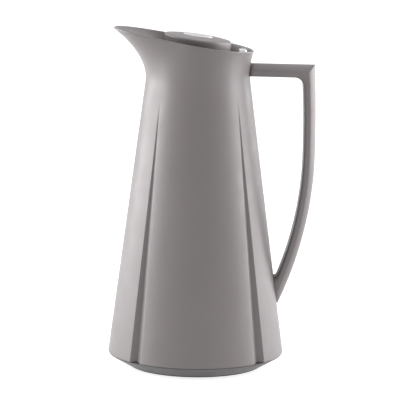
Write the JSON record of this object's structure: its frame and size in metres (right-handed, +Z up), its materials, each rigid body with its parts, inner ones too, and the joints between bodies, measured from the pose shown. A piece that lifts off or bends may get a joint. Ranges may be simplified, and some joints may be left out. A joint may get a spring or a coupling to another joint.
{
  "type": "vacuum jug",
  "caption": "Tapering thermal pouring jug with a flared spout, a slanted lever lid and an angular strap handle, holding a glass vacuum bottle.",
  "frame": {"origin": "on the jug's axis, in the plane of the foot ring's underside", "axes": "+Z up along the jug's axis, +X towards the handle, -X towards the spout, +Y to the left of someone facing along +X"},
  "size_m": [0.177, 0.1512, 0.291],
  "materials": {
    "casing": "satin, fine moulded grain",
    "base_plastic": "satin",
    "inner_plastic": "smooth moulded",
    "liner_glass": "silvered glass",
    "silicone": "translucent silicone",
    "rubber": "matt elastomer",
    "steel": "plain stainless",
    "polished": "polished"
  },
  "bodies": {
    "jug": {"body_shell": "casing", "handle": "casing", "handle_screws": "steel", "handle_washers": "steel", "liner_inner_bottle": "liner_glass", "liner_outer_bottle": "liner_glass", "liner_spacers": "inner_plastic", "liner_cushion": "rubber", "base_ring": "base_plastic", "base_cap": "base_plastic", "foot_ring": "rubber", "neck_collar": "inner_plastic", "neck_gasket": "silicone"},
    "stopper": {"stopper_body": "inner_plastic", "stopper_seal": "silicone", "valve_bridge": "inner_plastic", "bridge_screws": "steel", "pivot_pin": "steel", "lid_cap": "casing", "lid_gasket": "silicone", "lid_badge": "polished", "valve_spring": "steel"},
    "lever": {"lever_arm": "inner_plastic", "thumb_button": "polished"},
    "valve": {"valve_plug": "inner_plastic", "valve_seal": "silicone", "valve_stem": "steel", "stem_nut": "steel"}
  },
  "joints": [
    {"name": "stopper_lift", "type": "slide", "parent": "jug", "child": "stopper", "axis": [0, 0, 1], "range_m": [0, 0.08]},
    {"name": "lever_press", "type": "hinge", "parent": "stopper", "child": "lever", "pos_m": [0.015, 0, 0.2644], "axis": [0, 1, 0], "range_deg": [0, 12], "stiffness_Nm_per_rad": 0.6, "springref_deg": -14.32},
    {"name": "valve_lift", "type": "slide", "parent": "stopper", "child": "valve", "axis": [0, 0, 1], "range_m": [0, 0.0032], "deforming": ["valve_spring"]}
  ],
  "couplings": [
    {"joint": "valve_lift", "follows": "lever_press", "m_per_rad": 0.015}
  ]
}
